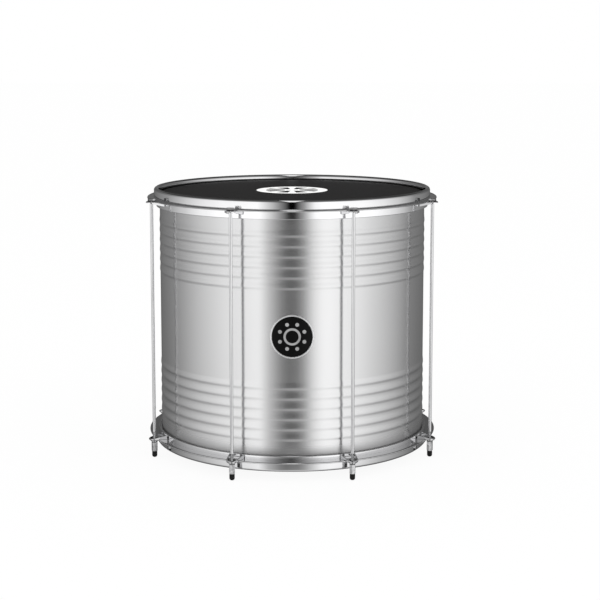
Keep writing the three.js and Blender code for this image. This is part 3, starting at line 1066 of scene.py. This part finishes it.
flange_room = spun([
    (ear_root - 2 * OVERRUN, OVERRUN, 0),
    (flange_edge + GAP, OVERRUN, 0),
    (flange_edge + GAP, -HOOP_DEPTH - GAP, 0),
    (ear_root - 2 * OVERRUN, -HOOP_DEPTH - GAP, 0),
])
boss = drill(BOSS_RADIUS, -HOOP_DEPTH - 2 * OVERRUN, 2 * OVERRUN, (bolt_circle, 0))
flange_room = combined(flange_room, boss, "DIFFERENCE")
ear = combined(bm, flange_room, "DIFFERENCE")
ear = combined(ear, hollow, "DIFFERENCE")
hole = drill(HOLE_RADIUS, plate_level - SKIRT_ROOT - OVERRUN, OVERRUN, (bolt_circle, 0))
ear = combined(ear, hole, "DIFFERENCE")
print(f"Ear: {len(ear.faces)} faces")

# %% [markdown]
# The faces of an ear that get painted shade are found with short rays. A face is inside if a ray from its
# middle meets the same ear again. Once an ear is in its place, the faces that look down are marked for
# painted shade too. The one ear is copied to all sixteen places, and the lower eight are turned over.

# %% Mark the faces for painted shade and set the ears
INSIDE_REACH = 16 * MM
LOOKS_DOWN = -0.25


def mark_inside(bm):
    """Marks the faces that look at another face of the same piece from nearby, for a painted shade in the
    hollow.
    """
    bm.normal_update()
    mark = bm.faces.layers.float.new("inside")
    faces = BVHTree.FromBMesh(bm)
    for face in bm.faces:
        start = face.calc_center_median() + face.normal * NEAR
        met = faces.ray_cast(start, face.normal, INSIDE_REACH)[0]
        face[mark] = 0.0 if met is None else 1.0


def mark_painted_underside(bm):
    """Marks the faces that look down, for a painted shade."""
    bm.normal_update()
    mark = bm.faces.layers.float["inside"]
    for face in bm.faces:
        if face.normal.z < LOOKS_DOWN:
            face[mark] = 1.0
    return bm


mark_inside(ear)
mark = ear.faces.layers.float["inside"]
print("Faces inside the ear:", sum(face[mark] > 0 for face in ear.faces))
for k in STATIONS:
    turn = Matrix.Rotation(rod_turns[k], 4, "Z")
    upper = Matrix.Translation((0, 0, upper_rim)) @ turn
    lower = Matrix.Translation((0, 0, lower_rim)) @ turn @ Matrix.Rotation(math.pi, 4, "X")
    for name, place in (("top", upper), ("bottom", lower)):
        claw = mark_painted_underside(moved(ear, place))
        dress(f"{name}_claw_{k}", claw, chrome, "drum", f"{name}_ear_{k}")

# %% [markdown]
# ## The rods
#
# A rod is a long bolt with a flanged hexagon head and a rolled thread at its lower end. The thread is a
# V-shaped line that is spun round the axis and climbs as it turns, so that each turn meets the last. Its
# ends are then cut flat and filled, which makes a closed solid that can be joined to the shank.

# %% Roll a thread
PITCH = 1 * MM
THREAD_ROOT = 2.45 * MM
THREAD_CREST = 2.97 * MM
THREAD_LENGTH = 30 * MM
TURN_STEPS = 20
OVERLAP = 0.5 * MM

rod_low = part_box("tension_rod_1")[0].z
shank_low = rod_low + THREAD_LENGTH


def threaded(low, high):
    """A closed stretch of screw thread."""
    turns = math.ceil((high - low) / PITCH) + 2
    start = low - PITCH
    bm = bmesh.new()
    points = [(THREAD_ROOT, start), (THREAD_CREST, start + PITCH / 2), (THREAD_ROOT, start + PITCH)]
    line = [bm.verts.new((radius, 0, height)) for radius, height in points]
    edges = [bm.edges.new(pair) for pair in zip(line, line[1:])]
    bmesh.ops.spin(
        bm, geom=line + edges, cent=(0, 0, 0), axis=(0, 0, 1), dvec=(0, 0, PITCH / TURN_STEPS),
        angle=2 * math.pi * turns, steps=TURN_STEPS * turns)
    bmesh.ops.remove_doubles(bm, verts=bm.verts, dist=WELD)
    for level, side in ((low, -1), (high, 1)):
        bmesh.ops.bisect_plane(
            bm, geom=bm.verts[:] + bm.edges[:] + bm.faces[:], plane_co=(0, 0, level),
            plane_no=(0, 0, side), clear_outer=True)
    bmesh.ops.holes_fill(bm, edges=bm.edges, sides=0)
    bmesh.ops.recalc_face_normals(bm, faces=bm.faces)
    return bm


thread = threaded(rod_low, shank_low - OVERLAP)
print(f"Thread: {len(thread.faces)} faces over {THREAD_LENGTH} m")

# %% [markdown]
# Bolt heads and nuts are hexagon bar with the corners turned off at both ends. The easy way is to keep only
# what the bar shares with a spun shape that narrows towards its ends. Shank, head and thread are then joined
# into one rod. They overlap a little, because a Boolean is at its worst where two faces only touch.

# %% Turn a rod
ROD_RADIUS = 3 * MM
COLLAR_RADIUS = 7.1 * MM
COLLAR_EDGES = (0.3 * MM, 0.6 * MM)
HEAD_HEIGHT = 2.9 * MM
HEAD_FLATS = 12.2 * MM
HEAD_CHAMFER = 0.7 * MM
CHAMFER_START = 0.15 * MM

collar_low = upper_rim - plate_depth + GAP
collar_high = collar_low + COLLAR_HEIGHT


def hexagon(flats, low, high, chamfer):
    """A hexagonal bar whose corners are turned off at both ends."""
    corner = flats / math.sqrt(3)
    bar = drill(corner, low, high, steps=6)
    end = flats / 2 - CHAMFER_START
    cone = spun([
        (0, low, 0),
        (end, low, 0),
        (corner + chamfer, low + chamfer, 0),
        (corner + chamfer, high - chamfer, 0),
        (end, high, 0),
        (0, high, 0),
    ], closed=False, steps=SMALL_STEPS)
    return combined(bar, cone, "INTERSECT")


shank_tip = shank_low - ROD_RADIUS / 4
shank = spun([
    (0, shank_tip, 0),
    (THREAD_ROOT, shank_tip, 0),
    (ROD_RADIUS, shank_low, 0),
    (ROD_RADIUS, collar_low, 0),
    (COLLAR_RADIUS, collar_low, COLLAR_EDGES[0]),
    (COLLAR_RADIUS, collar_high, COLLAR_EDGES[1]),
    (0, collar_high, 0),
], closed=False, steps=SMALL_STEPS)
head = hexagon(HEAD_FLATS, collar_high - OVERLAP, collar_high + HEAD_HEIGHT, HEAD_CHAMFER)
rod = combined(shank, head, "UNION")
rod = combined(rod, thread, "UNION")
print(f"Rod: {len(rod.faces)} faces")


def at_station(k):
    """The place of a piece that was made on the Z axis, with one of its flats facing out."""
    return Matrix.Translation((*rod_places[k].xy, 0)) @ Matrix.Rotation(rod_turns[k], 4, "Z")


for k in STATIONS:
    dress(f"rod_{k}", moved(rod, at_station(k)), steel, "drum", f"tension_rod_{k}")

# %% [markdown]
# ## Washers, nuts and feet
#
# Under each lower ear sit a washer and a long hexagon nut, which a key turns to tune the head. Every nut
# has a rubber foot on its lower end, and the drum stands on these feet. A nut and its foot ride on a body of
# their own, because they turn together.

# %% Turn washers, nuts and feet
WASHER_RADIUS = 7 * MM
WASHER_EDGES = (0.2 * MM, 0.35 * MM)
NUT_FLATS = 10 * MM
NUT_CHAMFER = 0.9 * MM
NUT_BORE = 3.4 * MM
SOCKET_RADIUS = 2.8 * MM
BORE_DEPTH = 13 * MM
FOOT_RADIUS = 4.85 * MM
FOOT_TIP = 4 * MM
FOOT_EDGE = 0.5 * MM
STEM_RADIUS = 2.5 * MM
STEM_LENGTH = 4 * MM
STEM_FOOT = 0.2 * MM
TIP_STEPS = 6

washer_low, washer_high = (corner.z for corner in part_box("washer_1"))
foot_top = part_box("rubber_foot_1")[1].z - STEM_LENGTH

washer = spun([
    (HOLE_RADIUS, washer_low, WASHER_EDGES[0]),
    (WASHER_RADIUS, washer_low, WASHER_EDGES[1]),
    (WASHER_RADIUS, washer_high, WASHER_EDGES[1]),
    (HOLE_RADIUS, washer_high, WASHER_EDGES[0]),
], steps=SMALL_STEPS)
nut = hexagon(NUT_FLATS, nut_low, nut_high, NUT_CHAMFER)
nut = combined(nut, drill(NUT_BORE, nut_high - BORE_DEPTH, nut_high + OVERRUN), "DIFFERENCE")
nut = combined(nut, drill(SOCKET_RADIUS, nut_low - OVERRUN, nut_low + STEM_LENGTH), "DIFFERENCE")
foot = spun([
    (0, 0, 0),
    (FOOT_RADIUS, 0, FOOT_TIP),
    (FOOT_RADIUS, foot_top, FOOT_EDGE),
    (STEM_RADIUS, foot_top, STEM_FOOT),
    (STEM_RADIUS, foot_top + STEM_LENGTH, FOOT_EDGE),
    (0, foot_top + STEM_LENGTH, 0),
], closed=False, steps=SMALL_STEPS, segments=TIP_STEPS)
print(f"Washer {len(washer.faces)}, nut {len(nut.faces)} and foot {len(foot.faces)} faces")

for k in STATIONS:
    place = at_station(k)
    dress(f"flat_washer_{k}", moved(washer, place), steel, "drum", f"washer_{k}")
    dress(f"hex_nut_{k}", moved(nut, place), nut_chrome, f"nut_{k}", f"tuning_nut_{k}")
    dress(f"foot_{k}", moved(foot, place), rubber, f"nut_{k}", f"rubber_foot_{k}")

# %% [markdown]
# ## The badge
#
# The badge is a lacquered disc in a silver rim, bent to the shell's curve. Both are spun flat, with a few
# extra rings on the disc, so that it can bend. Then each point is set on a cylinder round the drum's axis.

# %% Bend the badge
BADGE_RIM = 3 * MM
BADGE_PLATE = 0.8 * MM
BADGE_THICKNESS = 1.6 * MM
BADGE_ROUNDING = 1.2 * MM
PLATE_EDGE = 0.2 * MM
BADGE_RINGS = 8
BADGE_STEPS = 96

badge_low, badge_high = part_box("badge_rim")
badge_radius = (badge_high.x - badge_low.x) / 2
badge_middle = (badge_high.z + badge_low.z) / 2
seat = shell_radius + GAP


def bend(bm):
    """Stands a flat shape up to face the front and bends it round the shell."""
    for vert in bm.verts:
        across, upward, out = vert.co
        vert.co = (across, -math.sqrt((seat + out) ** 2 - across ** 2), badge_middle + upward)
    return bm


plate_radius = badge_radius - BADGE_RIM - GAP
rings = [plate_radius * i / BADGE_RINGS for i in range(BADGE_RINGS)]
section = [(radius, BADGE_PLATE, 0) for radius in rings] + [(plate_radius, BADGE_PLATE, PLATE_EDGE)]
section += [(plate_radius, 0, 0)] + [(radius, 0, 0) for radius in reversed(rings)]
plate = spun(section, closed=False, steps=BADGE_STEPS)
dress("badge_disc", bend(plate), lacquer, "drum", "badge_plate")
rim = spun([
    (badge_radius, 0, 0),
    (badge_radius, BADGE_THICKNESS, BADGE_ROUNDING),
    (badge_radius - BADGE_RIM, BADGE_THICKNESS, BADGE_ROUNDING),
    (badge_radius - BADGE_RIM, 0, 0),
], steps=BADGE_STEPS)
dress("badge_ring", bend(rim), silver, "drum", "badge_rim")
print(f"Badge: {2 * badge_radius:.4f} across, bent to a radius of {seat:.4f}")
